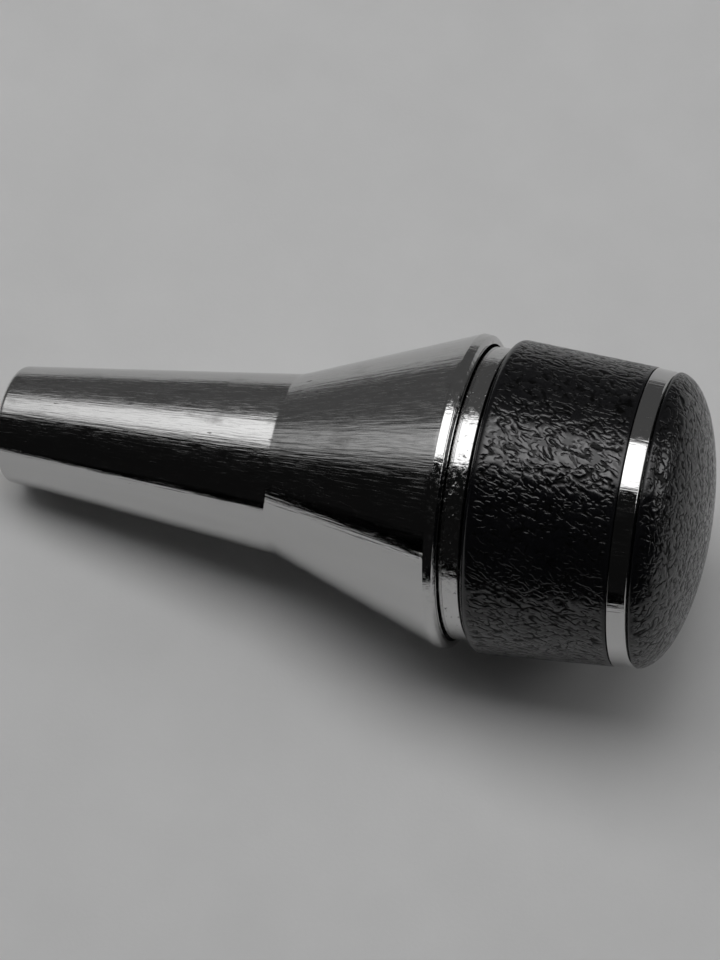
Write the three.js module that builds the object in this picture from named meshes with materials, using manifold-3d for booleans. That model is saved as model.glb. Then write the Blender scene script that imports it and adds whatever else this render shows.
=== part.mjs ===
// Push-down gear shift handle for a hollow automatic-transmission lever.
//
// Millimetres, +Z up. The handle's axis is +X: x = 0 is the mouth of the shank that goes over
// the lever, and the domed palm end is at x = 116.7. A flared metal sleeve is fixed to the lever.
// The covered head slides into the sleeve's cup along -X against a spring, and its push rod works
// the release rod inside the lever.
import * as THREE from "three";
import { mergeVertices } from "three/addons/utils/BufferGeometryUtils.js";
import Module from "manifold-3d";

const wasm = await Module();
wasm.setup();

// ---------------------------------------------------------------- driving dimensions
const GAP = 0.3; // clearance between neighbouring pieces
const STROKE = 2.7; // travel of the head, from its stop on the clip down to the bumper

const SHANK = { mouthR: 9.75, edge: 1.0, creaseX: 48.4, creaseR: 15.0 };
const LIP = { x: 77.2, r: 25.4, bandEnd: 78.5, endX: 79.0, endR: 24.3, boreR: 23.95, boreX: 76.2 };
const SOCKET = { boreR: 7.2, chamfer: 0.5, boreEnd: 30, pocketR: 9.2, pocketStart: 31 };
const WEB = { x: 44, top: 49, boreR: 4.6 };
const CUP = { floorR: 14.0, wallX: 51.5, coneX: 54.0, coneR: 14.9 };
const SCREW_PORT = { x: 9.5, r: 2.5, tilt: Math.PI / 4 };

const LEVER_BUSH = { x: 0.7, end: 29.6, outerR: 6.9, boreR: 5.0 };
const SET_SCREW = { r: 2.2, tipAt: 5.5, headAt: 9.7, coneR: 1.1, hexFlats: 2.5, hexDepth: 1.8 };
const ROD = { r: 2.9, x: 36.5, end: 88.0, grooveX: 40.3, grooveEnd: 41.7, grooveR: 2.2, flangeR: 5.6 };
const SPRING = { meanR: 7.4, wireR: 0.65, x: 51.05, end: 75.0, turns: 7.5, closedPitch: 1.7 };

const CORE = { pocketR: 9.3, bossR: 12.8, webX: 76, webTop: 81, bodyX: 82.7, bodyR: 21.2 };
const COLLAR = { x: 76.0, bandX: 79.0, r: 23.6, end: 82.4, discX: 79.4, discR: 13.1 };
const DRUM = { x: 82.7, footR: 23.6, peakX: 84.2, peakR: 25.25, end: 105.1, endR: 23.8 };
const RING = { x: 105.4, end: 108.5, r: 23.7, endR: 23.45, bevel: 0.35, boreR: 19.5 };
const DOME = { x: 108.7, baseR: 23.5, height: 8.0, cavityR: 19.6, cavityTop: 112.0 };

const COLLAR_SCREW = { count: 3, circleR: 17.0, shankR: 1.4, headR: 2.6, headX: 77.1, tip: 89 };
const CAP_SCREW = { count: 3, circleR: 14.0, shankR: 1.4, headR: 2.6, headX: 111.8, tip: 101 };
const SCREW_HEAD = 1.9; // height of a pan head
const CAP_DISC = { x: 108.2, end: 109.5, r: 19.2 };

const SPRING_SEAT = { boreR: 4.9, r: 8.9, thickness: 0.8 };
const BUMPER = { boreR: 9.3, r: 12.6, height: 2.0 };
const CLIP_R = 5.2;
const CLIP_WASHER = { r: 6.4, thickness: 0.6 };
const LOCK_WASHER = { r: 5.8, thickness: 0.8 };
const NUT = { flats: 10, height: 4.2 };
const LANDING = 0.1; // what is left between the skirt and the bumper with the head pressed

const FINE = 56; // facets round the outer shells
const MEDIUM = 32; // facets round the inner pieces
const COARSE = 12; // facets round the screws

// ---------------------------------------------------------------- materials
const finish = (color, roughness, metalness) =>
  new THREE.MeshStandardMaterial({ color, roughness, metalness });
const CHROME = () => finish(0xd8dade, 0.12, 1.0);
const STEEL = () => finish(0x9a9ca0, 0.35, 1.0);
const BRASS = () => finish(0xb08d4a, 0.35, 1.0);
const VINYL = () => finish(0x0d0d10, 0.4, 0.0);
const BLACK_PLASTIC = () => finish(0x1a1a1c, 0.5, 0.0);
const NYLON = () => finish(0xe6e2d6, 0.5, 0.0);
const RUBBER = () => finish(0x18181a, 0.85, 0.0);

// ---------------------------------------------------------------- shape helpers

// Points [x, r] on a quarter of an ellipse that leaves along x and arrives across it.
function alongThenAcross(x0, r0, x1, r1, steps) {
  const points = [];
  for (let i = 0; i <= steps; i++) {
    const t = (i / steps) * (Math.PI / 2);
    points.push([x0 + (x1 - x0) * Math.sin(t), r1 + (r0 - r1) * Math.cos(t)]);
  }
  return points;
}

// The same quarter ellipse the other way: it leaves across x and arrives along it.
function acrossThenAlong(x0, r0, x1, r1, steps) {
  return alongThenAcross(x1, r1, x0, r0, steps).reverse();
}

// A solid of revolution about +X, from an outline of [x, r] points taken once round the section.
function revolve(outline, facets) {
  const onAxis = outline[0][1] === 0;
  const points = outline.map(([x, r]) => new THREE.Vector2(r, x));
  if (!onAxis) points.push(points[0].clone());
  return new THREE.LatheGeometry(points, facets).rotateZ(-Math.PI / 2);
}

// A plain round bar along +X, from x = 0.
function bar(radius, length, facets) {
  return revolve([[0, 0], [0, radius], [length, radius], [length, 0]], facets);
}

// A hexagonal bar along +X, from x = 0, given its size across the flats.
function hexBar(flats, length) {
  return bar(flats / Math.sqrt(3), length, 6);
}

function toSolid(geometry) {
  const bare = geometry.clone();
  bare.deleteAttribute("normal");
  bare.deleteAttribute("uv");
  const merged = mergeVertices(bare, 1e-4);
  const vertProperties = new Float32Array(merged.attributes.position.array);
  const triVerts = new Uint32Array(merged.index.array);
  return new wasm.Manifold(new wasm.Mesh({ numProp: 3, vertProperties, triVerts }));
}

function toGeometry(solid) {
  const mesh = solid.getMesh();
  const geometry = new THREE.BufferGeometry();
  geometry.setAttribute("position", new THREE.BufferAttribute(mesh.vertProperties, 3));
  geometry.setIndex(new THREE.BufferAttribute(mesh.triVerts, 1));
  const flat = geometry.toNonIndexed();
  flat.computeVertexNormals();
  return flat;
}

// The geometry with each of the tools cut away.
function cut(geometry, tools) {
  let solid = toSolid(geometry);
  for (const tool of tools) solid = solid.subtract(toSolid(tool));
  return toGeometry(solid);
}

// The tool turned to each place of a ring of screws, [y, z] away from the axis.
function aroundAxis(count, circleR, makeTool) {
  const tools = [];
  for (let i = 0; i < count; i++) {
    const angle = (i / count) * 2 * Math.PI;
    const tool = makeTool();
    tool.translate(0, circleR * Math.cos(angle), circleR * Math.sin(angle));
    tools.push(tool);
  }
  return tools;
}

function piece(name, geometry, material, x = 0) {
  const mesh = new THREE.Mesh(geometry, material);
  mesh.name = name;
  mesh.position.x = x;
  return mesh;
}

// A bar that points out of the shank where the set screw goes, from a distance off the axis.
function portBar(radius, from, to) {
  const tool = bar(radius, to - from, COARSE).translate(from, 0, 0);
  return towardsPort(tool).translate(SCREW_PORT.x, 0, 0);
}

// Turns +X to the set screw's direction: down and to the far side.
function towardsPort(geometry) {
  return geometry.rotateY(Math.PI / 2).rotateX(SCREW_PORT.tilt);
}

// ---------------------------------------------------------------- pieces fixed to the lever

// One casting: a tapered shank, a cone that flares out to the lip, and the cup inside the cone.
function sleeve() {
  const outside = [
    ...acrossThenAlong(0, SHANK.mouthR - SHANK.edge, SHANK.edge, SHANK.mouthR, 4),
    [SHANK.creaseX, SHANK.creaseR],
    [LIP.x, LIP.r],
    ...alongThenAcross(LIP.bandEnd, LIP.r, LIP.endX, LIP.endR, 5),
  ];
  const cup = [
    [LIP.endX, LIP.boreR],
    [LIP.boreX, LIP.boreR],
    [CUP.coneX, CUP.coneR],
    [CUP.wallX, CUP.floorR],
    [WEB.top, CUP.floorR],
    [WEB.top, WEB.boreR],
  ];
  const socket = [
    [WEB.x, WEB.boreR],
    [WEB.x, SOCKET.pocketR],
    [SOCKET.pocketStart, SOCKET.pocketR],
    [SOCKET.boreEnd, SOCKET.boreR],
    [SOCKET.chamfer, SOCKET.boreR],
    [0, SOCKET.boreR + SOCKET.chamfer],
  ];
  const body = revolve([...outside, ...cup, ...socket], FINE);
  return cut(body, [portBar(SCREW_PORT.r, LEVER_BUSH.boreR + 1, SHANK.creaseR)]);
}

// Brass bush that fills the socket down to the lever's diameter.
function leverBush() {
  const length = LEVER_BUSH.end - LEVER_BUSH.x;
  const edge = 0.5;
  const tube = revolve(
    [
      [0, LEVER_BUSH.boreR + edge],
      [0, LEVER_BUSH.outerR - edge],
      [edge, LEVER_BUSH.outerR],
      [length - edge, LEVER_BUSH.outerR],
      [length, LEVER_BUSH.outerR - edge],
      [length, LEVER_BUSH.boreR],
      [edge, LEVER_BUSH.boreR],
    ],
    MEDIUM,
  );
  const port = portBar(SCREW_PORT.r, 0, SHANK.creaseR).translate(-LEVER_BUSH.x, 0, 0);
  return cut(tube, [port]);
}

// Socket set screw with a cone point, below the surface of the shank.
function setScrew() {
  const length = SET_SCREW.headAt - SET_SCREW.tipAt;
  const taper = SET_SCREW.r - SET_SCREW.coneR;
  const shape = revolve(
    [[0, 0], [0, SET_SCREW.coneR], [taper, SET_SCREW.r], [length, SET_SCREW.r], [length, 0]],
    COARSE,
  );
  const wrench = hexBar(SET_SCREW.hexFlats, length).translate(length - SET_SCREW.hexDepth, 0, 0);
  const screw = cut(shape, [wrench]).translate(SET_SCREW.tipAt, 0, 0);
  return towardsPort(screw);
}

// Flanged nylon bush in the sleeve's web: the push rod runs in it.
function guideBush() {
  const flange = { r: 7.6, x: WEB.x - GAP - 1.1 };
  const end = WEB.top + 0.6;
  return revolve(
    [
      [flange.x, ROD.r + GAP],
      [flange.x, flange.r],
      [WEB.x - GAP, flange.r],
      [WEB.x - GAP, WEB.boreR - GAP],
      [end, WEB.boreR - GAP],
      [end, ROD.r + GAP],
    ],
    MEDIUM,
  );
}

// A flat ring with square edges, from x = 0.
function flatRing(innerR, outerR, thickness, facets) {
  return revolve([[0, innerR], [0, outerR], [thickness, outerR], [thickness, innerR]], facets);
}

// Washer on the cup's floor that the return spring stands on.
function springSeat() {
  return flatRing(SPRING_SEAT.boreR, SPRING_SEAT.r, SPRING_SEAT.thickness, MEDIUM);
}

// Rubber ring on the cup's floor that the head lands on.
function bumperRing() {
  const edge = 0.5;
  return revolve(
    [
      [0, BUMPER.boreR],
      [0, BUMPER.r],
      [BUMPER.height - edge, BUMPER.r],
      [BUMPER.height, BUMPER.r - edge],
      [BUMPER.height, BUMPER.boreR + edge],
      [BUMPER.height - edge, BUMPER.boreR],
    ],
    MEDIUM,
  );
}

// The return spring's centre line: closed turns at both ends and open turns between them.
class SpringPath extends THREE.Curve {
  getPoint(t, target = new THREE.Vector3()) {
    const turn = t * SPRING.turns;
    const closed = SPRING.closedPitch;
    const open = (SPRING.end - SPRING.x - 2 * closed) / (SPRING.turns - 2);
    const fromEnd = Math.min(turn, 1) * closed + Math.max(turn - (SPRING.turns - 1), 0) * closed;
    const middle = Math.min(Math.max(turn - 1, 0), SPRING.turns - 2) * open;
    const angle = turn * 2 * Math.PI;
    const y = SPRING.meanR * Math.cos(angle);
    const z = SPRING.meanR * Math.sin(angle);
    return target.set(SPRING.x + fromEnd + middle, y, z);
  }
}

function returnSpring() {
  const wire = new THREE.Shape();
  const sides = 7;
  for (let i = 0; i < sides; i++) {
    const angle = (i / sides) * 2 * Math.PI;
    const y = SPRING.wireR * Math.cos(angle);
    const z = SPRING.wireR * Math.sin(angle);
    if (i === 0) wire.moveTo(y, z);
    else wire.lineTo(y, z);
  }
  const steps = Math.round(SPRING.turns * 13);
  return new THREE.ExtrudeGeometry(wire, { steps, extrudePath: new SpringPath() });
}

// ---------------------------------------------------------------- pieces of the sliding head

// Moulded body of the head: a skirt round the spring, a web under the nut, and a thick drum.
function core() {
  const skirtX = WEB.top + GAP + BUMPER.height + STROKE + LANDING;
  const shoulder = DRUM.end;
  const bossR = RING.boreR - GAP;
  const top = CAP_DISC.x - GAP;
  const edge = 0.4;
  const body = revolve(
    [
      [skirtX, CORE.pocketR],
      [skirtX, CORE.bossR - edge],
      [skirtX + edge, CORE.bossR],
      [CORE.bodyX, CORE.bossR],
      [CORE.bodyX, CORE.bodyR],
      [shoulder, CORE.bodyR],
      [shoulder, bossR],
      [top, bossR],
      [top, CORE.pocketR],
      [CORE.webTop, CORE.pocketR],
      [CORE.webTop, ROD.r + GAP],
      [CORE.webX, ROD.r + GAP],
      [CORE.webX, CORE.pocketR],
    ],
    MEDIUM,
  );
  const lowerHoles = screwHoles(COLLAR_SCREW, CORE.bodyX - 1, COLLAR_SCREW.tip + GAP);
  const upperHoles = screwHoles(CAP_SCREW, CAP_SCREW.tip - GAP, top + 1);
  return cut(body, [...lowerHoles, ...upperHoles]);
}

// Clearance holes for a ring of screws, between two stations.
function screwHoles(screw, from, to) {
  const hole = () => bar(screw.shankR + GAP, to - from, COARSE).translate(from, 0, 0);
  return aroundAxis(screw.count, screw.circleR, hole);
}

// Plated collar: the bright neck seen above the lip, with a skirt inside it and a screwed disc.
function lowerCollar() {
  const skirt = { outer: 21.9, inner: 20.4 };
  const edge = 0.25;
  const ring = revolve(
    [
      [COLLAR.x, skirt.inner],
      [COLLAR.x, skirt.outer],
      [COLLAR.bandX, COLLAR.r],
      [COLLAR.end - edge, COLLAR.r],
      [COLLAR.end, COLLAR.r - edge],
      [COLLAR.end, COLLAR.discR],
      [COLLAR.discX, COLLAR.discR],
      [COLLAR.discX, skirt.inner],
    ],
    FINE,
  );
  return cut(ring, screwHoles(COLLAR_SCREW, COLLAR.discX - 1, COLLAR.end + 1));
}

// Grained cover round the drum: a rounded foot, the widest line, then an even taper.
function gripCover() {
  const boreR = CORE.bodyR + GAP;
  const edge = 0.2;
  const outline = [
    [DRUM.x, boreR],
    ...acrossThenAlong(DRUM.x, DRUM.footR, DRUM.peakX, DRUM.peakR, 5),
    [DRUM.end - edge, DRUM.endR],
    [DRUM.end, DRUM.endR - edge],
    [DRUM.end, boreR],
  ];
  return revolve(outline, FINE);
}

// Bright band between the drum and the dome.
function trimRing() {
  return revolve(
    [
      [RING.x, RING.boreR],
      [RING.x, RING.r],
      [RING.end - RING.bevel, RING.endR],
      [RING.end, RING.endR - RING.bevel],
      [RING.end, RING.boreR],
    ],
    FINE,
  );
}

// Grained palm cap, a shallow half ellipsoid, hollow underneath to clear the disc's screws.
function domeCap() {
  const cavityEdge = 0.8;
  const ceiling = [
    [DOME.cavityTop, 0],
    [DOME.cavityTop, DOME.cavityR - cavityEdge],
    [DOME.cavityTop - cavityEdge, DOME.cavityR],
    [DOME.x, DOME.cavityR],
  ];
  const crown = alongThenAcross(DOME.x, DOME.baseR, DOME.x + DOME.height, 0, 12);
  return revolve([...ceiling, ...crown], FINE);
}

// Steel disc that the dome is bonded to, screwed down over the trim ring.
function capDisc() {
  const length = CAP_DISC.end - CAP_DISC.x;
  const disc = bar(CAP_DISC.r, length, MEDIUM);
  return cut(disc, screwHoles(CAP_SCREW, -1, length + 1));
}

// Push rod with its spring-side flange, clip groove and chamfered ends, from x = 0.
function pushRod() {
  const at = (x) => x - ROD.x;
  const edge = 0.6;
  const flangeTop = CORE.webX - GAP;
  const flangeFoot = flangeTop - 1.5;
  return revolve(
    [
      [0, 0],
      [0, ROD.r - edge],
      [edge, ROD.r],
      [at(ROD.grooveX), ROD.r],
      [at(ROD.grooveX), ROD.grooveR],
      [at(ROD.grooveEnd), ROD.grooveR],
      [at(ROD.grooveEnd), ROD.r],
      [at(flangeFoot), ROD.r],
      [at(flangeFoot), ROD.flangeR],
      [at(flangeTop), ROD.flangeR],
      [at(flangeTop), ROD.r],
      [at(ROD.end) - edge, ROD.r],
      [at(ROD.end), ROD.r - edge],
      [at(ROD.end), 0],
    ],
    MEDIUM / 2,
  );
}

// Open retaining clip in the rod's groove.
function eClip() {
  const thickness = ROD.grooveEnd - ROD.grooveX - 2 * GAP;
  const innerR = ROD.grooveR + GAP;
  const ring = flatRing(innerR, CLIP_R, thickness, MEDIUM / 2);
  const mouth = new THREE.BoxGeometry(3 * thickness, 2 * innerR - 1, 2 * CLIP_R);
  return cut(ring, [mouth.translate(0, 0, -CLIP_R)]);
}

// Thrust washer between the clip and the guide bush.
function clipWasher() {
  return flatRing(ROD.r + GAP, CLIP_WASHER.r, CLIP_WASHER.thickness, MEDIUM / 2);
}

// Split spring washer under the rod's nut.
function lockWasher() {
  const splitWidth = 0.6;
  const ring = flatRing(ROD.r + GAP, LOCK_WASHER.r, LOCK_WASHER.thickness, MEDIUM / 2);
  const split = new THREE.BoxGeometry(3 * LOCK_WASHER.thickness, splitWidth, LOCK_WASHER.r);
  return cut(ring, [split.translate(0, 0, LOCK_WASHER.r / 2 + 1)]);
}

function rodNut() {
  const hole = bar(ROD.r + GAP, 3 * NUT.height, MEDIUM / 2).translate(-NUT.height, 0, 0);
  return cut(hexBar(NUT.flats, NUT.height), [hole]);
}

// Slotted pan-head screw, from x = 0 at the top of its head towards the side its tip is on.
function panScrew(screw) {
  const side = Math.sign(screw.tip - screw.headX);
  const length = Math.abs(screw.tip - screw.headX);
  const edge = 0.6;
  const slotDepth = 0.8;
  const slotWidth = 0.7;
  const outline = [
    [0, 0],
    [0, screw.headR - edge],
    [edge, screw.headR],
    [SCREW_HEAD, screw.headR],
    [SCREW_HEAD, screw.shankR],
    [length, screw.shankR],
    [length, 0],
  ];
  const slot = new THREE.BoxGeometry(2 * slotDepth, 2 * screw.headR + 1, slotWidth);
  const shape = cut(revolve(outline, COARSE), [slot]);
  return side > 0 ? shape : shape.rotateY(Math.PI);
}

function screwSet(name, screw) {
  const group = new THREE.Group();
  for (let i = 0; i < screw.count; i++) {
    const angle = (i / screw.count) * 2 * Math.PI;
    const mesh = piece(`${name}_${i + 1}`, panScrew(screw), STEEL(), screw.headX);
    mesh.position.y = screw.circleR * Math.cos(angle);
    mesh.position.z = screw.circleR * Math.sin(angle);
    group.add(mesh);
  }
  return group;
}

// ---------------------------------------------------------------- assembly
const fixedPart = new THREE.Group();
fixedPart.add(piece("sleeve", sleeve(), CHROME()));
fixedPart.add(piece("lever_bush", leverBush(), BRASS(), LEVER_BUSH.x));
fixedPart.add(piece("set_screw", setScrew(), STEEL(), SCREW_PORT.x));
fixedPart.add(piece("guide_bush", guideBush(), NYLON()));
fixedPart.add(piece("spring_seat", springSeat(), STEEL(), WEB.top + GAP));
fixedPart.add(piece("bumper_ring", bumperRing(), RUBBER(), WEB.top + GAP));
fixedPart.add(piece("return_spring", returnSpring(), STEEL()));

const slidingHead = new THREE.Group();
slidingHead.add(piece("core", core(), BLACK_PLASTIC()));
slidingHead.add(piece("lower_collar", lowerCollar(), CHROME()));
slidingHead.add(piece("grip_cover", gripCover(), VINYL()));
slidingHead.add(piece("trim_ring", trimRing(), CHROME()));
slidingHead.add(piece("cap_disc", capDisc(), STEEL(), CAP_DISC.x));
slidingHead.add(piece("dome_cap", domeCap(), VINYL()));
slidingHead.add(piece("push_rod", pushRod(), STEEL(), ROD.x));
slidingHead.add(piece("e_clip", eClip(), STEEL(), ROD.grooveX + GAP));
slidingHead.add(piece("clip_washer", clipWasher(), STEEL(), ROD.grooveEnd));
slidingHead.add(piece("lock_washer", lockWasher(), STEEL(), CORE.webTop + GAP));
slidingHead.add(piece("rod_nut", rodNut(), STEEL(), CORE.webTop + LOCK_WASHER.thickness + 2 * GAP));
slidingHead.add(screwSet("collar_screw", COLLAR_SCREW));
slidingHead.add(screwSet("cap_screw", CAP_SCREW));

const handle = new THREE.Group();
handle.add(fixedPart, slidingHead);

export default handle;
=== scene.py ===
"""Gear shift handle: a chromed sleeve and a black-grained push head, on a pale sheet."""
import math

import bmesh
import bpy
import numpy as np
from mathutils import Matrix, Vector


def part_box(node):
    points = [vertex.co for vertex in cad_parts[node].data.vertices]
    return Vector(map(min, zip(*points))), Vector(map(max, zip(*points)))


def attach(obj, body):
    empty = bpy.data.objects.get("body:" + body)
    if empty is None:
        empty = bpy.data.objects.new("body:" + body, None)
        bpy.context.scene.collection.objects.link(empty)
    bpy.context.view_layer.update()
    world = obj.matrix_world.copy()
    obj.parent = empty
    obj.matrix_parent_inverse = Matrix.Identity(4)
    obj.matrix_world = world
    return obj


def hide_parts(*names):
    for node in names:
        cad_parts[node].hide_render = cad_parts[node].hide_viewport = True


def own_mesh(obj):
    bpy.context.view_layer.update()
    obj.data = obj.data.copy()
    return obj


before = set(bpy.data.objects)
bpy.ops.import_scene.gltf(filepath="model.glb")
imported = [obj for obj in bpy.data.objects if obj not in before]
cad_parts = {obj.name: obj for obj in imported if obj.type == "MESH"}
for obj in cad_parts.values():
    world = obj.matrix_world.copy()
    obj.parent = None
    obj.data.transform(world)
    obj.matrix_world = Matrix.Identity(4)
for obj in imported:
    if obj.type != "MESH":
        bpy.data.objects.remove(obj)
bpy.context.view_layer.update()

MM = 0.001  # the outlines below are in millimetres, as [distance along the axis, radius]
GRAIN_STEP = 0.17  # between the points of a grained outline
DRUM_COLUMNS = 655  # of mesh round the drum, about 0.24 mm apart
DOME_COLUMNS = 614
TWIST = -0.008  # how far the drum's grain wanders round the axis, in radians per mm
AXIS = Vector((1, 0, 0))


# ---------------------------------------------------------------- stations, from the frame
def span(node):
    """Where a CAD node starts and ends along the handle's axis, and its largest radius, in mm."""
    low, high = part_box(node)
    return low.x / MM, high.x / MM, high.y / MM


SLEEVE_START, SLEEVE_END, LIP_R = span("sleeve")
COLLAR_START, COLLAR_END, COLLAR_R = span("lower_collar")
DRUM_START, DRUM_END, DRUM_R = span("grip_cover")
RING_START, RING_END, RING_R = span("trim_ring")
DOME_START, DOME_END, DOME_R = span("dome_cap")
BUSH_START, BUSH_END, BUSH_R = span("lever_bush")
SPRING_START, SPRING_END, SPRING_R = span("return_spring")

MOUTH_R = 9.75
CREASE = (48.4, 15.0)  # where the shank ends and the flare starts
LIP_START = 77.2
LIP_BAND = 1.3  # the lip's width before it rounds over
LIP_BORE_R = 23.95
SOCKET_R = 7.2  # the hole that the lever bush fills
POCKET_R = 9.2  # the wider room past the socket
WEB_START, WEB_END, WEB_BORE_R = 44.0, 49.0, 4.6  # between the socket and the cup
CUP_FLOOR_R = 14.0
BUSH_BORE_R = 5.0
DRUM_FOOT_R = 23.6
DRUM_PEAK = 1.5  # from the drum's foot to its widest line
DRUM_TOP_R = 23.8
DRUM_BORE_R = 21.5
RING_TOP_R = 23.45
RING_BORE_R = 19.5
DOME_CEILING, DOME_BORE_R = 112.0, 19.6
PORT_X = 9.5  # the set screw's hole
PORT_R = 2.5
COUNTERSINK = 10.3  # where the port starts to widen, from the handle's axis
PORT_TILT = math.radians(45)


# ---------------------------------------------------------------- outlines
def rounded(corners, longest=1.5, steps=8):
    """A closed or open outline with each corner [x, r, fillet] rounded, and long straights divided."""
    closed = corners[0][1] > 0
    count = len(corners)
    points = []
    for i, (x, r, fillet) in enumerate(corners):
        here = np.array([x, r], float)
        if not closed and i in (0, count - 1):
            points.append(here)
            continue
        before = np.array(corners[i - 1][:2], float) - here
        after = np.array(corners[(i + 1) % count][:2], float) - here
        points.extend(fillet_points(here, before, after, fillet, steps))
    if closed:
        points.append(points[0])
    return divided(np.array(points), longest)


def fillet_points(corner, before, after, fillet, steps):
    """Points on the arc that rounds a corner, from the side before it to the side after."""
    to_before = before / np.linalg.norm(before)
    to_after = after / np.linalg.norm(after)
    half = math.acos(np.clip(to_before @ to_after, -1, 1)) / 2
    if fillet <= 0 or half > math.radians(89.5):
        return [corner]
    reach = min(fillet / math.tan(half), 0.48 * np.linalg.norm(before), 0.48 * np.linalg.norm(after))
    radius = reach * math.tan(half)
    bisector = (to_before + to_after) / np.linalg.norm(to_before + to_after)
    centre = corner + bisector * math.hypot(reach, radius)
    start = corner + to_before * reach - centre
    end = corner + to_after * reach - centre
    turn = math.atan2(start[0] * end[1] - start[1] * end[0], start @ end)
    points = []
    for k in range(steps + 1):
        angle = turn * k / steps
        c, s = math.cos(angle), math.sin(angle)
        points.append(centre + np.array([c * start[0] - s * start[1], s * start[0] + c * start[1]]))
    return points


def divided(points, longest, support=0.05):
    """The outline with its straights cut into short steps, and a support point by each end of them."""
    result = [points[0]]
    for start, end in zip(points[:-1], points[1:]):
        length = np.linalg.norm(end - start)
        if length > 4 * support:
            marks = np.linspace(support, length - support, max(2, 1 + math.ceil(length / longest)))
            result.extend(start + (end - start) * mark / length for mark in marks)
        if length > 1e-6:
            result.append(end)
    return np.array(result)


def resampled(points, step):
    """The outline with evenly spaced points."""
    lengths = np.r_[0, np.cumsum(np.hypot(*np.diff(points, axis=0).T))]
    marks = np.linspace(0, lengths[-1], max(2, round(lengths[-1] / step)))
    return np.stack([np.interp(marks, lengths, points[:, k]) for k in (0, 1)], axis=1)


# ---------------------------------------------------------------- meshes
SHARP_EDGE = math.radians(40)


def spun(name, outline, columns, grain=None, ring_shape=None):
    """A mesh of revolution about +X.

    grain is a pair: a Leather, and a function that says where the grain shows, from 0 to 1, for points
    in mm. ring_shape(row, angle) scales a row's radius.
    """
    outline = np.asarray(outline, float)
    capped = outline[0][1] < 1e-9 and outline[-1][1] < 1e-9
    body = outline[1:-1] if capped else outline[:-1]
    rows = len(body)
    angles = np.arange(columns) * 2 * math.pi / columns
    radii = np.repeat(body[None, :, 1], columns, axis=0)
    if ring_shape is not None:
        radii = radii * ring_shape(np.arange(rows)[None, :], angles[:, None])
    stations = np.repeat(body[None, :, 0], columns, axis=0)
    if grain is not None:
        stations, radii, kept = grained(body, stations, radii, angles, *grain)
    cos, sin = np.cos(angles)[:, None], np.sin(angles)[:, None]
    points = np.stack([stations, radii * cos, radii * sin], axis=2).reshape(-1, 3)
    column, row = np.meshgrid(np.arange(columns), np.arange(rows), indexing="ij")
    if capped:
        column, row = column[:, :-1], row[:, :-1]
    beside = (column + 1) % columns
    above = (row + 1) % rows
    corners = [column * rows + row, column * rows + above, beside * rows + above, beside * rows + row]
    faces = np.stack(corners, axis=2).reshape(-1, 4).tolist()
    vertices = (points * MM).tolist()
    if capped:
        first, last = len(vertices), len(vertices) + 1
        vertices += [(outline[0][0] * MM, 0, 0), (outline[-1][0] * MM, 0, 0)]
        for k in range(columns):
            following = (k + 1) % columns
            faces.append((first, k * rows, following * rows))
            faces.append((last, following * rows + rows - 1, k * rows + rows - 1))
    piece = smooth_object(name, vertices, faces)
    if grain is not None:
        for key, values in kept.items():
            values = np.r_[values, np.zeros(len(vertices) - len(values))]
            layer = piece.data.attributes.new(key, "FLOAT", "POINT")
            layer.data.foreach_set("value", values.astype(np.float32))
    return piece


def grained(body, stations, radii, angles, leather, shown):
    """Stations and radii with the grain's relief, and the grain's fields for the material to read."""
    along = np.gradient(body, axis=0)
    along /= np.linalg.norm(along, axis=1)[:, None]
    normal = np.stack([-along[:, 1], along[:, 0]], axis=1)
    cos, sin = np.cos(angles)[:, None], np.sin(angles)[:, None]
    points = np.stack([stations, radii * cos, radii * sin], axis=2).reshape(-1, 3)
    place = leather.laid(points)
    fields = leather.fields(place)
    mask = shown(points)
    lift = (leather.height(place, fields) * mask).reshape(radii.shape)
    coarse, fine, coarse_open, fine_open = fields
    kept = {
        "coarse": coarse,
        "fine": fine,
        "coarse_open": coarse_open * mask,
        "fine_open": fine_open * mask,
    }
    return stations + normal[None, :, 0] * lift, radii + normal[None, :, 1] * lift, kept


def smooth_object(name, vertices, faces):
    mesh = bpy.data.meshes.new(name)
    mesh.from_pydata(vertices, [], faces)
    mesh.validate()
    mesh.shade_smooth()
    piece = bpy.data.objects.new(name, mesh)
    bpy.context.scene.collection.objects.link(piece)
    face_out(piece)
    return piece


def face_out(piece):
    """Turns the faces outwards and keeps the sharp edges crisp."""
    shape = bmesh.new()
    shape.from_mesh(piece.data)
    if shape.calc_volume(signed=True) < 0:
        bmesh.ops.reverse_faces(shape, faces=shape.faces)
    for edge in shape.edges:
        edge.smooth = edge.calc_face_angle(0) < SHARP_EDGE
    shape.to_mesh(piece.data)
    shape.free()


def hexagon(rows):
    """A ring shape that makes the given rows hexagonal, with their radius at the corners."""
    def shape(row, angle):
        turned = np.mod(angle, math.pi / 3) - math.pi / 6
        factor = math.cos(math.pi / 6) / np.cos(turned)
        return np.where(np.isin(row, rows), factor, 1.0)
    return shape


def cut_away(piece, tool):
    """Cuts the tool out of the piece and removes the tool."""
    cutter = piece.modifiers.new("cut", "BOOLEAN")
    cutter.operation = "DIFFERENCE"
    cutter.solver = "EXACT"
    cutter.object = tool
    graph = bpy.context.evaluated_depsgraph_get()
    cut = bpy.data.meshes.new_from_object(piece.evaluated_get(graph))
    piece.modifiers.remove(cutter)
    piece.data = cut
    bpy.data.objects.remove(tool)
    face_out(piece)


def to_port(piece):
    """Turns a piece made along +X so that it points out of the shank at the set screw."""
    turn = Matrix.Rotation(PORT_TILT, 4, "X") @ Matrix.Rotation(math.pi / 2, 4, "Y")
    piece.data.transform(Matrix.Translation((PORT_X * MM, 0, 0)) @ turn)
    return piece


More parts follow.
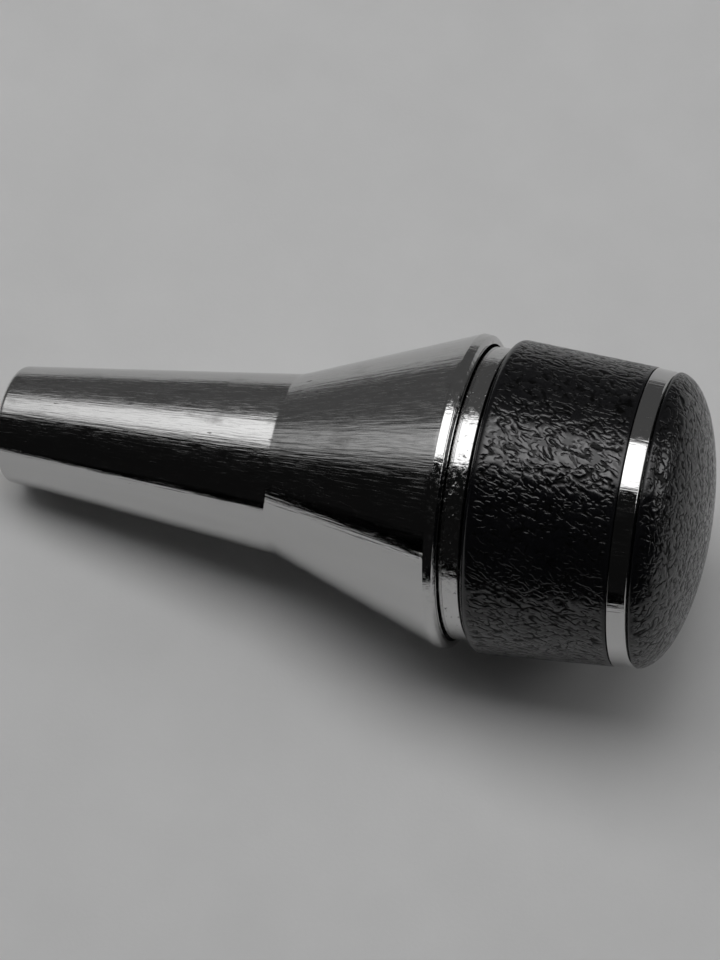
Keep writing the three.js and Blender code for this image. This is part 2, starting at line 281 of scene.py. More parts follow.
# ---------------------------------------------------------------- leather grain
class GradientNoise:
    """Smooth noise over points in space, about -0.7 to 0.7, one feature per unit length."""

    def __init__(self, seed):
        generator = np.random.default_rng(seed)
        self.order = generator.permutation(256)
        slopes = generator.normal(size=(256, 3))
        self.slopes = slopes / np.linalg.norm(slopes, axis=1)[:, None]

    def __call__(self, points):
        cell = np.floor(points).astype(int)
        inside = points - cell
        ease = inside**3 * (inside * (inside * 6 - 15) + 10)
        total = np.zeros(len(points))
        for corner in np.ndindex(2, 2, 2):
            corner = np.array(corner)
            lattice = (cell + corner) & 255
            index = self.order[lattice[:, 0]]
            index = self.order[(index + lattice[:, 1]) & 255]
            index = self.order[(index + lattice[:, 2]) & 255]
            weight = np.prod(np.where(corner == 1, ease, 1 - ease), axis=1)
            total += weight * np.einsum("ij,ij->i", self.slopes[index], inside - corner)
        return total


def eased(value, low, high):
    t = np.clip((value - low) / (high - low), 0, 1)
    return t * t * (3 - 2 * t)


class Leather:
    """Moulded leather grain: flat plateaus parted by wandering, broken creases.

    Each crease runs where one of two smooth fields crosses zero, so that the mesh and the material can
    share them. size is about one plateau in mm, stretch draws the plateaus out along the axis, and twist
    is how far they wander round the axis, in radians per mm.
    """

    WANDERING = ((0.8, 0.5), (3.2, 0.14), (7.0, 0.05))  # fineness and reach of each shift of the creases
    FINENESS = 1.8  # of the shallow creases, compared with the deep ones
    DEEP_WIDTH, SHALLOW_WIDTH = 0.18, 0.22  # in each crease's own field
    DEPTH = 0.06  # of a deep crease, in mm
    SHALLOW_DEPTH = 0.6  # compared with a deep crease
    UNEVENNESS = 0.012  # between high and low plateaus, in mm
    SINK = 0.001  # of the whole grain below the outline, in mm

    def __init__(self, size, stretch, twist, seed):
        self.scale = np.array([1 / stretch, 1, 1]) / size
        self.twist = twist
        noises = [GradientNoise(seed + k) for k in range(15)]
        self.shifts = [noises[0:3], noises[3:6], noises[6:9]]
        self.coarse, self.fine, self.coarse_gaps, self.fine_gaps, self.swell, self.ripple = noises[9:]

    def laid(self, points):
        """The points in the grain's own space, where one plateau has length one."""
        turn = self.twist * points[:, 0]
        cos, sin = np.cos(turn), np.sin(turn)
        y, z = points[:, 1], points[:, 2]
        return np.stack([points[:, 0], y * cos - z * sin, y * sin + z * cos], axis=1) * self.scale

    def fields(self, place):
        """Two fields that cross zero along the creases, and how open their creases are, from 0 to 1."""
        moved = place
        for noises, (fineness, reach) in zip(self.shifts, self.WANDERING):
            moved = moved + reach * np.stack([noise(place * fineness) for noise in noises], axis=1)
        coarse = self.coarse(moved)
        fine = self.fine(moved * self.FINENESS)
        coarse_open = eased(self.coarse_gaps(moved * 1.2), -0.2, 0.12)
        fine_open = eased(self.fine_gaps(moved * 1.5), -0.14, 0.1)
        return coarse, fine, coarse_open, fine_open

    def height(self, place, fields):
        """The relief that the mesh carries, in mm."""
        coarse, fine, coarse_open, fine_open = fields
        deep = np.exp(-((coarse / self.DEEP_WIDTH) ** 2)) * coarse_open
        shallow = self.SHALLOW_DEPTH * np.exp(-((fine / self.SHALLOW_WIDTH) ** 2)) * fine_open
        raised = eased(self.swell(place * 1.3) + 0.3 * self.ripple(place * 2.8), -0.25, 0.25)
        return self.UNEVENNESS * raised - self.DEPTH * np.maximum(deep, shallow) - self.SINK


# ---------------------------------------------------------------- node materials
PLATE_R, VINYL_R, TURNED_R = 15, 25, 6  # about the radius of each kind of surface, for around_axis


class Paint:
    """One node material. A method adds nodes and returns an output, and links the sockets it is given."""

    def __init__(self, name, tree=None):
        if tree is None:
            self.material = bpy.data.materials.new(name)
            self.material.use_nodes = True
            tree = self.material.node_tree
        self.tree = tree
        self.tree.nodes.clear()

    def add(self, kind, inputs=None, **settings):
        node = self.tree.nodes.new(kind)
        for key, value in settings.items():
            setattr(node, key, value)
        for key, value in (inputs or {}).items():
            if isinstance(value, bpy.types.NodeSocket):
                self.tree.links.new(value, node.inputs[key])
            else:
                node.inputs[key].default_value = value
        return node

    def place(self):
        return self.add("ShaderNodeTexCoord").outputs["Object"]

    def outward(self):
        """The direction straight out from the handle's axis, of length one."""
        across = {0: self.place(), 1: (0, 1, 1)}
        flat = self.add("ShaderNodeVectorMath", across, operation="MULTIPLY").outputs[0]
        return self.add("ShaderNodeVectorMath", {0: flat}, operation="NORMALIZE").outputs[0]

    def around_axis(self, length, width, radius, twist=0.0):
        """Coordinates for marks along the axis, from a mark's length and width and the radius, in mm."""
        station = self.add("ShaderNodeSeparateXYZ", {0: self.place()}).outputs["X"]
        turn = {0: self.outward(), "Angle": self.maths("MULTIPLY", station, twist / MM)}
        turned = self.add("ShaderNodeVectorRotate", turn, rotation_type="X_AXIS").outputs[0]
        scale = {0: turned, "Scale": radius / width}
        wide = self.add("ShaderNodeVectorMath", scale, operation="SCALE").outputs[0]
        along = self.maths("MULTIPLY", station, 1 / (length * MM))
        lengthwise = self.add("ShaderNodeCombineXYZ", {"X": along}).outputs[0]
        return self.add("ShaderNodeVectorMath", {0: wide, 1: lengthwise}, operation="ADD").outputs[0]

    def noise(self, vector, scale=1.0, detail=2.0, roughness=0.5):
        values = {"Vector": vector, "Scale": scale, "Detail": detail, "Roughness": roughness}
        return self.add("ShaderNodeTexNoise", values).outputs["Fac"]

    def spread(self, value, low, high, to_low=0.0, to_high=1.0):
        values = {"Value": value, "From Min": low, "From Max": high, "To Min": to_low, "To Max": to_high}
        return self.add("ShaderNodeMapRange", values).outputs["Result"]

    def eased(self, value, low, high, to_low=0.0, to_high=1.0):
        values = {"Value": value, "From Min": low, "From Max": high, "To Min": to_low, "To Max": to_high}
        return self.add("ShaderNodeMapRange", values, interpolation_type="SMOOTHSTEP").outputs["Result"]

    def maths(self, operation, *values):
        return self.add("ShaderNodeMath", dict(enumerate(values)), operation=operation).outputs[0]

    def times(self, first, *others):
        for other in others:
            first = self.maths("MULTIPLY", first, other)
        return first

    def largest(self, first, *others):
        for other in others:
            first = self.maths("MAXIMUM", first, other)
        return first

    def blend(self, factor, first, second):
        node = self.add("ShaderNodeMix", data_type="RGBA")
        for key, value in ((0, factor), (6, first), (7, second)):
            if isinstance(value, bpy.types.NodeSocket):
                self.tree.links.new(value, node.inputs[key])
            else:
                node.inputs[key].default_value = value
        return node.outputs[2]

    def field(self, name):
        return self.add("ShaderNodeAttribute", attribute_name=name).outputs["Fac"]

    def bump(self, height, distance, strength=1.0, normal=None):
        """Relief on top of the normal given: distance is its depth in mm, negative where it goes in."""
        values = {"Height": height, "Distance": distance * MM, "Strength": strength}
        if normal is not None:
            values["Normal"] = normal
        return self.add("ShaderNodeBump", values).outputs["Normal"]

    def finish(self, **values):
        """Ends the material in a Principled shader with the values given."""
        titles = {key: key.replace("_", " ").title().replace("Ior", "IOR") for key in values}
        shader = self.add("ShaderNodeBsdfPrincipled", {titles[key]: value for key, value in values.items()})
        output = self.add("ShaderNodeOutputMaterial")
        self.tree.links.new(shader.outputs[0], output.inputs["Surface"])
        return self.material


def grey(value, warmth=0.0):
    return (value * (1 + warmth), value, value * (1 - warmth), 1)


def plate_zones(paint, worn):
    """Where the plate is past the crease, past the lip, and on the worn upper side, each from 0 to 1."""
    station = paint.add("ShaderNodeSeparateXYZ", {0: paint.place()}).outputs["X"]
    past_crease = paint.spread(station, (CREASE[0] - 0.5) * MM, (CREASE[0] + 1.0) * MM)
    past_lip = paint.spread(station, (LIP_START - 0.6) * MM, LIP_START * MM)
    upper = paint.add("ShaderNodeSeparateXYZ", {0: paint.outward()}).outputs["Z"]
    exposed = paint.times(paint.spread(upper, 0.6, 0.95), paint.spread(past_lip, 0, 1, worn, 0))
    return past_crease, past_lip, exposed


def plated(name, hairlines, worn, pit, scuffed=0.0):
    """Chrome plate: a mirror crossed by lengthwise hairlines that scatter light, with fine pits.

    hairlines is the part of the plate they cover, worn adds to it on the side that lies uppermost and
    stains that side, and scuffed is how dented and dulled the plate is from the sleeve's lip on.
    """
    paint = Paint(name)
    past_crease, past_lip, exposed = plate_zones(paint, worn)

    def marks(length, width, **noise):
        return paint.noise(paint.around_axis(length, width, PLATE_R), **noise)

    hairs = marks(3.5, 0.09, detail=3, roughness=0.6)
    strokes = marks(8.0, 0.4, roughness=0.6)
    cloud = marks(14.0, 4.0)
    waves = marks(12.0, 2.2, detail=1)
    cover = paint.maths("MULTIPLY_ADD", cloud, 0.4, paint.maths("ADD", exposed, hairlines - 0.05))
    threshold = paint.spread(cover, 0.15, 1.15, 0.66, 0.36)
    line = paint.times(paint.maths("SUBTRACT", hairs, threshold), 6.0)

    spots = paint.noise(paint.place(), 1300, detail=2, roughness=0.7)
    pits = paint.spread(spots, 0.73 - 0.07 * pit, 0.78 - 0.07 * pit)
    nicks = paint.spread(marks(2.6, 0.8, detail=1), 0.755, 0.775)
    nicks = paint.times(nicks, paint.maths("GREATER_THAN", exposed, 0.1))
    stain = paint.times(paint.spread(marks(7.0, 3.0, detail=4, roughness=0.65), 0.57, 0.72), exposed)
    dents = paint.noise(paint.place(), 1500, detail=3)
    beaten = paint.times(past_lip, scuffed)

    marked = paint.times(cover, paint.spread(past_crease, 0, 1, 1, 1.7))
    normal = paint.bump(waves, 0.002)
    normal = paint.bump(paint.times(strokes, marked), 0.045, normal=normal)
    normal = paint.bump(paint.times(hairs, marked), 0.009, normal=normal)
    normal = paint.bump(paint.times(dents, beaten), 0.03, normal=normal)
    normal = paint.bump(paint.largest(pits, nicks), -0.02, max(pit, 0.3), normal)

    dented = paint.times(paint.spread(dents, 0.4, 0.7, 0, 0.24), beaten)
    rough = paint.largest(paint.spread(line, 0, 1, 0.06, 0.3), paint.times(pits, 0.4 * pit), dented)
    dull = paint.largest(paint.times(pits, 0.6 * pit), paint.times(nicks, 0.9), stain)
    colour = paint.blend(dull, grey(0.55, 0.004), grey(0.12, 0.03))
    around = paint.add("ShaderNodeTangent", direction_type="RADIAL", axis="X").outputs[0]
    return paint.finish(
        base_color=colour, metallic=1.0, roughness=rough, normal=normal, anisotropic=0.6, tangent=around
    )


def crease_parts(paint, field, wall_width, depth):
    """The dull bottom (painted crease shade, with dirt), the sloping walls and the glossy rims of one kind
    of crease, each from 0 to 1.
    """
    away = paint.maths("ABSOLUTE", paint.field(field))
    is_open = paint.field(field + "_open")
    bottom = paint.times(paint.spread(away, 0.05, 0.12, depth[0], 0), is_open)
    wall = paint.times(paint.eased(away, 0, wall_width, depth[1], 0), is_open)
    rim = paint.times(paint.spread(away, 0.08, 0.16), paint.spread(away, 0.26, 0.42, 1, 0), is_open)
    return bottom, wall, rim


def grained_vinyl(name, grain_place):
    """Black moulded vinyl: satin plateaus, creases with glossy rims and dull, darker bottoms that carry
    painted shade in the creases with some dirt, and dust in places.

    The creases come from the mesh's own fields. grain_place(paint) gives the coordinates of the finest
    grain, one pebble per unit.
    """
    paint = Paint(name)
    place = paint.place()
    deep = crease_parts(paint, "coarse", 0.15, (1, 1))
    shallow = crease_parts(paint, "fine", 0.18, (0.8, 0.7))
    bottom, wall, rim = (paint.largest(*pair) for pair in zip(deep, shallow))
    pebbles = paint.noise(grain_place(paint))
    texture = paint.noise(place, 2600, detail=3, roughness=0.6)
    patches = paint.spread(paint.noise(place, 130), 0.3, 0.7)
    normal = paint.bump(texture, 0.008)
    normal = paint.bump(pebbles, 0.009, normal=normal)
    normal = paint.bump(wall, -0.05, normal=normal)
    rough = paint.spread(rim, 0, 1, paint.spread(patches, 0, 1, 0.18, 0.24), 0.12)
    # painted shade in the creases, with dirt: the crease bottoms lose almost all their reflection
    shine = paint.spread(bottom, 0, 1, paint.spread(rim, 0, 1, 0.5, 0.85), 0.08)
    base = paint.blend(patches, (0.003, 0.003, 0.004, 1), (0.005, 0.005, 0.006, 1))
    specks = paint.spread(paint.noise(place, 1700, detail=1), 0.78, 0.82, 0, 0.15)
    # the crease bottoms blend to a darker black: painted shade in the creases, with dirt
    colour = paint.blend(specks, paint.blend(bottom, base, grey(0.003)), grey(0.2, 0.05))
    return paint.finish(base_color=colour, roughness=rough, specular_ior_level=shine, normal=normal)


def drum_grain(paint):
    return paint.around_axis(0.95, 0.42, VINYL_R, TWIST)


def dome_grain(paint):
    pebble = 0.5 * MM
    scaled = {0: paint.place(), "Scale": 1 / pebble}
    return paint.add("ShaderNodeVectorMath", scaled, operation="SCALE").outputs[0]


def moulded(name, light, dark, roughness):
    """A moulded plastic or rubber: faint flow mottling and a fine texture."""
    paint = Paint(name)
    place = paint.place()
    mottle = paint.spread(paint.noise(place, 180, detail=3), 0.3, 0.7)
    texture = paint.noise(place, 2200, detail=2)
    colour = paint.blend(mottle, dark, light)
    rough = paint.spread(texture, 0.3, 0.7, roughness - 0.06, roughness + 0.06)
    return paint.finish(base_color=colour, roughness=rough, normal=paint.bump(texture, 0.01))


def turned_metal(name, light, dark, roughness):
    """A machined metal: fine rings round the axis, uneven plating and stains."""
    paint = Paint(name)
    place = paint.place()
    rings = paint.noise(paint.around_axis(0.12, 12.0, TURNED_R))
    stains = paint.spread(paint.noise(place, 320, detail=4, roughness=0.6), 0.35, 0.7)
    colour = paint.blend(stains, light, dark)
    rough = paint.spread(rings, 0.3, 0.7, roughness - 0.08, roughness + 0.1)
    return paint.finish(base_color=colour, metallic=1.0, roughness=rough, normal=paint.bump(rings, 0.006))


def paper():
    """The pale sheet that the handle lies on: faint fibres and mottling, fading out far from the handle."""
    paint = Paint("pale_sheet")
    place = paint.place()
    fibres = paint.noise(place, 1400, detail=3, roughness=0.6)
    mottle = paint.spread(paint.noise(place, 60, detail=3), 0.3, 0.7)
    colour = paint.blend(mottle, grey(0.76), grey(0.79))
    distance = paint.add("ShaderNodeVectorMath", {0: place}, operation="LENGTH").outputs["Value"]
    shown = paint.spread(distance, *SHEET_SHOWN, 1, 0)
    normal = paint.bump(fibres, 0.02)
    return paint.finish(
        base_color=colour, roughness=0.9, specular_ior_level=0.0, normal=normal, alpha=shown
    )


CHROME = plated("chrome_plate", hairlines=0.12, worn=0.5, pit=0.15, scuffed=1.0)
BRIGHT = plated("bright_band", hairlines=0.25, worn=0.0, pit=0.2)
WORN = plated("worn_chrome", hairlines=0.12, worn=0.0, pit=1.0, scuffed=1.0)
DRUM_VINYL = grained_vinyl("grained_vinyl", drum_grain)
DOME_VINYL = grained_vinyl("grained_vinyl_cap", dome_grain)
PLASTIC = moulded("black_plastic", grey(0.03), grey(0.018), 0.45)
NYLON = moulded("nylon", (0.72, 0.69, 0.6, 1), (0.64, 0.6, 0.5, 1), 0.4)
RUBBER = moulded("rubber", grey(0.028), grey(0.016), 0.8)
STEEL = turned_metal("steel", grey(0.56), grey(0.42, 0.02), 0.32)
BRASS = turned_metal("brass", (0.68, 0.5, 0.22, 1), (0.5, 0.34, 0.13, 1), 0.3)


# ---------------------------------------------------------------- pieces
def dress(piece, material, body, node):
    """Gives a piece its material, hides the CAD node it stands for, and hangs it on the body it rides on.
    """
    piece.data.materials.clear()
    piece.data.materials.append(material)
    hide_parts(node)
    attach(piece, body)
    return piece


def make_sleeve():
    """Tapered shank, flared cone and rounded lip, with the lever socket and the cup inside."""
    cone = [
        [SLEEVE_START, SOCKET_R + 0.5, 0.15],
        [SLEEVE_START, MOUTH_R, 1.0],
        [*CREASE, 1.6],
        [LIP_START, LIP_R, 0.25],
        [LIP_START + LIP_BAND, LIP_R - 0.15, 0.4],
        [SLEEVE_END, LIP_R - 0.8, 0.3],
        [SLEEVE_END, LIP_BORE_R, 0.12],
    ]
    inside = [
        [76.2, LIP_BORE_R, 0.8],
        [54.0, 14.9, 1.0],
        [51.5, CUP_FLOOR_R, 0.5],
        [WEB_END, CUP_FLOOR_R, 0.4],
        [WEB_END, WEB_BORE_R, 0.3],
        [WEB_START, WEB_BORE_R, 0.3],
        [WEB_START, POCKET_R, 0.5],
        [31.0, POCKET_R, 0.5],
        [30.0, SOCKET_R, 0.3],
        [SLEEVE_START + 0.5, SOCKET_R, 0.1],
    ]
    piece = spun("sleeve_shell", rounded(cone + inside, longest=1.2), 360)
    bottom, reach = 5.0, 14.0
    port = [
        [bottom, 0, 0],
        [bottom, PORT_R, 0],
        [COUNTERSINK, PORT_R, 0.3],
        [reach, PORT_R + (reach - COUNTERSINK), 0],
        [reach, 0, 0],
    ]
    cut_away(piece, to_port(spun("port_tool", rounded(port, steps=4), 96)))
    return dress(piece, CHROME, "housing", "sleeve")


def make_lever_bush():
    """Turned bush in the socket, with the set screw's hole through its wall."""
    outline = [
        [BUSH_START, BUSH_BORE_R + 0.4, 0.15],
        [BUSH_START, BUSH_R, 0.5],
        [BUSH_END, BUSH_R, 0.5],
        [BUSH_END, BUSH_BORE_R, 0.2],
        [BUSH_START + 0.4, BUSH_BORE_R, 0.15],
    ]
    piece = spun("lever_bush_turned", rounded(outline, longest=1.0), 180)
    reach = 12
    port = [[0, 0, 0], [0, PORT_R, 0], [reach, PORT_R, 0], [reach, 0, 0]]
    cut_away(piece, to_port(spun("bush_tool", rounded(port), 96)))
    return dress(piece, BRASS, "housing", "lever_bush")


def make_set_screw():
    """Socket set screw: cone point, chamfered end, six-sided wrench hole with a drilled bottom."""
    tip, head = 5.5, 9.7  # from the handle's axis
    screw_r, point_r, chamfer = 2.2, 1.1, 0.35
    corner = 2.5 / math.sqrt(3)  # of a hole 2.5 mm across its flats
    outline = np.array([
        [tip, 0],
        [tip, point_r],
        [tip + point_r, screw_r],
        [head - chamfer, screw_r],
        [head, screw_r - chamfer],
        [head, corner],
        [head - 1.8, corner],
        [head - 2.2, 0],
    ])
    piece = spun("set_screw_socket", outline, 96, ring_shape=hexagon([4, 5]))
    return dress(to_port(piece), STEEL, "housing", "set_screw")


def make_collar():
    """The bright neck: a rounded bead at the lip, a fine groove, the band, and a skirt down in the cup."""
    groove, groove_r = SLEEVE_END + 0.5, COLLAR_R - 0.14
    skirt_r, bore_r, disc = 20.4, 13.1, 2.7
    outline = [
        [COLLAR_START, skirt_r, 0.3],
        [COLLAR_START, 21.9, 0.3],
        [SLEEVE_END, COLLAR_R - 0.1, 0.3],
        [groove, COLLAR_R, 0.12],
        [groove + 0.08, groove_r, 0.05],
        [groove + 0.2, groove_r, 0.05],
        [groove + 0.28, COLLAR_R, 0.06],
        [COLLAR_END, COLLAR_R, 0.35],
        [COLLAR_END, bore_r, 0.2],
        [COLLAR_END - disc, bore_r, 0.2],
        [COLLAR_END - disc, skirt_r, 0.3],
    ]
    piece = spun("neck_collar", rounded(outline, longest=0.8), 360)
    return dress(piece, WORN, "head", "lower_collar")


def make_drum():
    """Grained cover: rounded foot with a smooth border, then an even taper covered in grain."""
    swell = DRUM_R - DRUM_FOOT_R
    foot = [
        [DRUM_START + DRUM_PEAK * (1 - math.cos(t)), DRUM_FOOT_R + swell * math.sin(t), 0]
        for t in arc_angles(10)
    ]
    top_end = DRUM_END + 0.2  # almost against the ring, as in the photograph
    ends = [[top_end, DRUM_TOP_R, 0.15], [top_end, DRUM_BORE_R, 0], [DRUM_START, DRUM_BORE_R, 0]]
    outline = rounded(foot + ends)
    top = np.argmin(np.hypot(outline[:, 0] - DRUM_END, outline[:, 1] - (DRUM_TOP_R - 0.3)))
    covered = resampled(outline[: top + 1], GRAIN_STEP)
    outline = np.vstack([covered, outline[top + 1 :]])

    def shown(points):
        station = points[:, 0]
        radius = np.hypot(points[:, 1], points[:, 2])
        ends = eased(station, DRUM_START + 0.9, DRUM_START + 1.9) * eased(DRUM_END - station, 0.0, 0.7)
        return ends * (radius > DRUM_BORE_R + 0.5)

    grain = (Leather(1.2, 1.7, TWIST, 40), shown)
    piece = spun("grip_drum", outline, DRUM_COLUMNS, grain=grain)
    return dress(piece, DRUM_VINYL, "head", "grip_cover")


def arc_angles(steps):
    return [k / steps * math.pi / 2 for k in range(steps + 1)]


def make_ring():
    """Bright band with a crisp bevel on the side of the dome."""
    bevel = 0.4
    outline = [
        [RING_START, RING_BORE_R, 0],
        [RING_START, RING_R, 0.12],
        [RING_END - bevel, RING_TOP_R, 0.1],
        [RING_END, RING_TOP_R - bevel, 0.1],
        [RING_END, RING_BORE_R, 0],
    ]
    piece = spun("bright_band_ring", rounded(outline, longest=0.6), 360)
    return dress(piece, BRIGHT, "head", "trim_ring")


def make_dome():
    """Grained palm cap, half an ellipsoid with a small turned-in edge, hollow underneath."""
    rise = DOME_END - DOME_START
    turned_in = 0.15
    crown = [[DOME_START + rise * math.sin(t), DOME_R * math.cos(t), 0] for t in arc_angles(40)]
    crown[0][1] -= turned_in
    hollow = [[DOME_CEILING, 0, 0], [DOME_CEILING, DOME_BORE_R, 0.6], [DOME_START, DOME_BORE_R, 0.2]]
    outline = rounded(hollow + crown)
    start = np.argmin(np.hypot(outline[:, 0] - DOME_START, outline[:, 1] - DOME_R + turned_in))
    outline = np.vstack([outline[:start], resampled(outline[start:], GRAIN_STEP)])
    outline[-1] = [DOME_END, 0]

    def shown(points):
        radius = np.hypot(points[:, 1], points[:, 2])
        crown_at = DOME_START + rise * np.sqrt(np.clip(1 - (radius / DOME_R) ** 2, 0, 1))
        return eased(points[:, 0], DOME_START + 0.1, DOME_START + 0.8) * (points[:, 0] > crown_at - 0.2)

    grain = (Leather(1.5, 1.0, 0.0, 80), shown)
    piece = spun("palm_dome", outline, DOME_COLUMNS, grain=grain)
    return dress(piece, DOME_VINYL, "head", "dome_cap")


def make_spring():
    """Return spring: round wire, closed turns at both ends, built at one length, though the real one
    shortens as the head goes down.
    """
    wire_r = 0.65
    turns = 7.5
    closed_pitch = 1.7
    mean_r = SPRING_R - wire_r
    low, high = SPRING_START + wire_r, SPRING_END - wire_r
    pitch = (high - low - 2 * closed_pitch) / (turns - 2)
    steps, sides = 300, 20
    turn = np.linspace(0, turns, steps)
    ends = np.minimum(turn, 1) + np.maximum(turn - (turns - 1), 0)
    station = low + closed_pitch * ends + pitch * np.clip(turn - 1, 0, turns - 2)
    angle = turn * 2 * math.pi
    outward = np.stack([np.zeros(steps), np.cos(angle), np.sin(angle)], axis=1)
    centre = outward * mean_r
    centre[:, 0] = station
    side_angle = np.arange(sides) * 2 * math.pi / sides
    ring = outward[:, None, :] * np.cos(side_angle)[None, :, None]
    ring = ring + np.array([1.0, 0, 0]) * np.sin(side_angle)[None, :, None]
    points = (centre[:, None, :] + wire_r * ring).reshape(-1, 3)
    faces = []
    for i in range(steps - 1):
        here, there = i * sides, (i + 1) * sides
        for j in range(sides):
            following = (j + 1) % sides
            faces.append((here + j, here + following, there + following, there + j))
    faces.append(tuple(range(sides)))
    faces.append(tuple((steps - 1) * sides + j for j in reversed(range(sides))))
    piece = smooth_object("return_spring_wire", (points * MM).tolist(), faces)
    dress(piece, STEEL, "housing", "return_spring")
    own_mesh(piece)
    return piece


def finish_inner_nodes():
    """Node materials for the CAD pieces that keep their CAD shape."""
    finishes = {
        STEEL: ["spring_seat", "cap_disc", "push_rod", "e_clip", "clip_washer", "lock_washer", "rod_nut"]
        + [f"{kind}_screw_{i}" for kind in ("collar", "cap") for i in (1, 2, 3)],
        NYLON: ["guide_bush"],
        RUBBER: ["bumper_ring"],
        PLASTIC: ["core"],
    }
    for material, nodes in finishes.items():
        for node in nodes:
            for material_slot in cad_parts[node].material_slots:
                material_slot.material = material


# ---------------------------------------------------------------- stage, light and camera
AXIS_TILT = math.radians(14.35)  # how far the palm end leans towards the camera
AXIS_SLOPE = math.radians(8.58)  # how far the axis runs down to the right in the picture
CAMERA_LIFT = math.radians(59.5)  # the view's turn about the handle's axis, up from level
CAMERA_SHIFT = Vector((-57.24, -9.39, 435.2)) * MM  # the shank's mouth: right, down, ahead
FOCAL_LENGTH = 97.5
AIM = (0.058, 0, 0)
SHEET_REACH = 0.9
SHEET_SHOWN = (0.25, 0.7)  # from where the sheet fades out to where it is gone
# a black card and a glowing strip along its edge, seen only in reflections: a dark reflection and a painted
# bright reflected line in the chrome
CARD_AWAY = 0.165
CARD_TURN = math.radians(-18)
EDGE_WIDTH = 0.004
EDGE_GLOW = 1.2
PANEL_PLACE = Vector((-0.12, 0.08, 0.62))
PANEL_START, PANEL_DIM, PANEL_FULL, PANEL_END = -0.85, -0.45, 0.24, 1.15  # along the panel, from its place
PANEL_BRIGHT = (0.36, 0.5)  # where its brightest part ends
PANEL_HALF_WIDTH = 0.23
PANEL_GLOW = 2.7
PANEL_NEAR_DIM, PANEL_FAR_DIM = 0.19, 0.4  # the share of the glow over the lever, and past the dome
END_PLACE = Vector((1.2, 0.3, 0.4))
END_HALF_SIZE = 0.34
END_GLOW = 2.0
SHEET_LIGHT_LENGTH, SHEET_LIGHT_WATTS = 0.8, 1.2
WALL_DARK, WALL_PALE = 0.006, 0.085  # the room in reflections, on the -Y side and on the +Y side
BACKDROP = 0.45  # the room as the camera sees it


def make_camera():
    """The photograph's view, worked out from how the handle's axis and its mouth lie in the picture."""
    ahead = Vector((
        -math.sin(AXIS_TILT),
        math.cos(AXIS_TILT) * math.cos(CAMERA_LIFT),
        -math.cos(AXIS_TILT) * math.sin(CAMERA_LIFT),
    ))
    along = (AXIS - ahead * AXIS.dot(ahead)).normalized()
    below = ahead.cross(along)
    right = along * math.cos(AXIS_SLOPE) - below * math.sin(AXIS_SLOPE)
    down = along * math.sin(AXIS_SLOPE) + below * math.cos(AXIS_SLOPE)
    position = -(right * CAMERA_SHIFT.x + down * CAMERA_SHIFT.y + ahead * CAMERA_SHIFT.z)
    data = bpy.data.cameras.new("camera")
    data.lens = FOCAL_LENGTH
    data.sensor_width = 36
    data.clip_start, data.clip_end = 0.01, 20
    camera = bpy.data.objects.new("camera", data)
    turned = Matrix((right, -down, -ahead)).transposed().to_4x4()
    camera.matrix_world = Matrix.Translation(position) @ turned
    bpy.context.scene.collection.objects.link(camera)
    bpy.context.scene.camera = camera


def sheet_frame():
    """The handle rests on its mouth's edge and on its lip, so the sheet slopes down between the two."""
    slope = math.atan2(LIP_R - MOUTH_R, LIP_START - SLEEVE_START)
    touching = Vector((LIP_START, 0, -LIP_R - 0.15)) * MM
    return Matrix.Translation(touching) @ Matrix.Rotation(slope, 4, "Y")


def rectangle(name, near, far, material, place):
    """A flat stage piece between two corners of its own XY plane."""
    corners = [(near[0], near[1], 0), (far[0], near[1], 0), (far[0], far[1], 0), (near[0], far[1], 0)]
    mesh = bpy.data.meshes.new(name)
    mesh.from_pydata(corners, [], [(0, 1, 2, 3)])
    mesh.materials.append(material)
    piece = bpy.data.objects.new(name, mesh)
    piece.matrix_world = place
    bpy.context.scene.collection.objects.link(piece)
    return piece


def make_sheet():
    """The sheet, and beside it a black card with a glowing strip along its edge that only reflections see:
    the card puts the dark surroundings into the chrome, and the strip paints a bright reflected line there.
    """
    far = SHEET_REACH
    rectangle("sheet", (-far, -far), (far, far), paper(), sheet_frame())
    above = 0.001
    place = sheet_frame() @ Matrix.Translation((0, -CARD_AWAY, above)) @ Matrix.Rotation(CARD_TURN, 4, "Z")
    card = rectangle("dark_card", (-far, -far), (far, 0), glow("card_black", 0.0), place)
    # a glowing strip, no lamp: it paints a bright line into the chrome's reflections
    edge = rectangle("edge_reflection_glow", (-far, 0), (far, EDGE_WIDTH), glow("edge_reflection_glow", EDGE_GLOW), place)
    for unseen in (card, edge):
        unseen.visible_camera = False
        unseen.visible_diffuse = False
        unseen.visible_shadow = False


def glow(name, strength, paint=None):
    """A material that only glows, in a new node tree or in the one that works out its strength."""
    paint = paint or Paint(name)
    shader = paint.add("ShaderNodeEmission", {"Strength": strength})
    paint.add("ShaderNodeOutputMaterial", {"Surface": shader.outputs[0]})
    return paint.material


def facing(position, upright):
    """A frame whose Z looks at the handle from a place, and whose X leans towards a direction."""
    ahead = (Vector(AIM) - position).normalized()
    level = (upright - ahead * upright.dot(ahead)).normalized()
    return Matrix.Translation(position) @ Matrix((level, ahead.cross(level), ahead)).transposed().to_4x4()


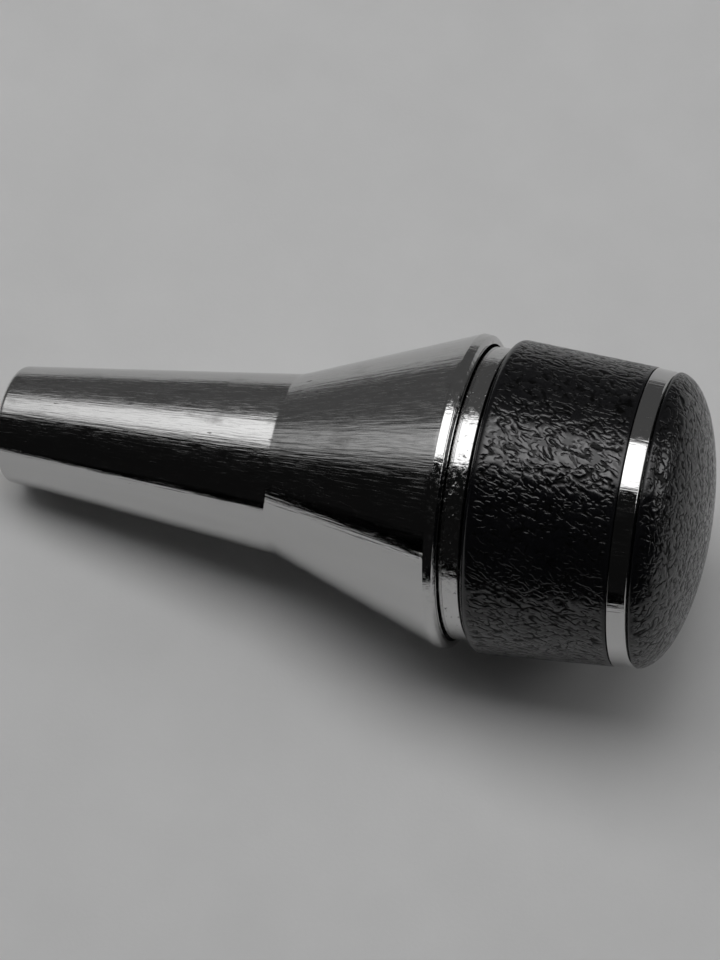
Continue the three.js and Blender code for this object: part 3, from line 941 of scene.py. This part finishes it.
def make_overhead_softbox():
    """A long glowing panel over the handle, brightest over the palm end and fading away past the shank."""
    paint = Paint("overhead_softbox")
    parts = paint.add("ShaderNodeSeparateXYZ", {0: paint.place()}).outputs
    rising = paint.maths("POWER", paint.spread(parts["X"], PANEL_DIM, PANEL_FULL), 1.2)
    start = paint.spread(parts["X"], PANEL_START, PANEL_START + 0.25)
    end = paint.spread(parts["X"], *PANEL_BRIGHT, 1, PANEL_FAR_DIM)
    along = paint.times(paint.spread(rising, 0, 1, PANEL_NEAR_DIM, 1), start, end)
    half = PANEL_HALF_WIDTH
    even = paint.spread(parts["X"], PANEL_DIM, -0.05, 0.05 * half, 0.85 * half)
    across = paint.spread(paint.maths("ABSOLUTE", parts["Y"]), even, half, 1, 0)
    glowing = glow("overhead_softbox", paint.times(along, across, PANEL_GLOW), paint)
    near, far = (PANEL_START, -half), (PANEL_END, half)
    panel = rectangle("overhead_softbox", near, far, glowing, facing(PANEL_PLACE, AXIS))
    panel.visible_camera = False


def make_end_softbox():
    """A dimmer panel past the palm end, which the dome's rim reflects."""
    paint = Paint("end_softbox")
    parts = paint.add("ShaderNodeSeparateXYZ", {0: paint.place()}).outputs
    half = END_HALF_SIZE
    upright, across = (
        paint.spread(paint.maths("ABSOLUTE", parts[side]), 0.7 * half, half, 1, 0) for side in ("X", "Y")
    )
    glowing = glow("end_softbox", paint.times(upright, across, END_GLOW), paint)
    place = facing(END_PLACE, Vector((0, 0, 1)))
    panel = rectangle("end_softbox", (-half, -half), (half, half), glowing, place)
    panel.visible_camera = False


def make_sheet_light():
    """More light on the sheet, from the softbox's side, which the chrome doesn't reflect."""
    data = bpy.data.lights.new("sheet_light", "AREA")
    data.shape = "RECTANGLE"
    data.size, data.size_y = SHEET_LIGHT_LENGTH, 2 * PANEL_HALF_WIDTH
    data.energy = SHEET_LIGHT_WATTS
    light = bpy.data.objects.new("sheet_light", data)
    light.matrix_world = facing(PANEL_PLACE, AXIS) @ Matrix.Rotation(math.pi, 4, "X")
    light.visible_glossy = False
    bpy.context.scene.collection.objects.link(light)


def make_room():
    """A dim room: almost black on the -Y side, paler on the +Y side, and plain where the camera sees it."""
    world = bpy.data.worlds.new("studio")
    bpy.context.scene.world = world
    world.use_nodes = True
    paint = Paint("studio_world", world.node_tree)
    direction = paint.add("ShaderNodeTexCoord").outputs["Generated"]
    depth = paint.add("ShaderNodeSeparateXYZ", {0: direction}).outputs["Y"]
    wall = paint.spread(depth, -0.1, 0.4, WALL_DARK, WALL_PALE)
    around = paint.add("ShaderNodeBackground", {"Color": wall}).outputs[0]
    seen = paint.add("ShaderNodeBackground", {"Color": grey(BACKDROP)}).outputs[0]
    camera_ray = paint.add("ShaderNodeLightPath").outputs["Is Camera Ray"]
    mixed = paint.add("ShaderNodeMixShader", {0: camera_ray, 1: around, 2: seen}).outputs[0]
    paint.add("ShaderNodeOutputWorld", {"Surface": mixed})
    bpy.context.scene.view_settings.view_transform = "Standard"


make_sleeve()
make_lever_bush()
make_set_screw()
make_collar()
make_drum()
make_ring()
make_dome()
make_spring()
finish_inner_nodes()
make_sheet()
make_overhead_softbox()
make_end_softbox()
make_sheet_light()
make_room()
make_camera()
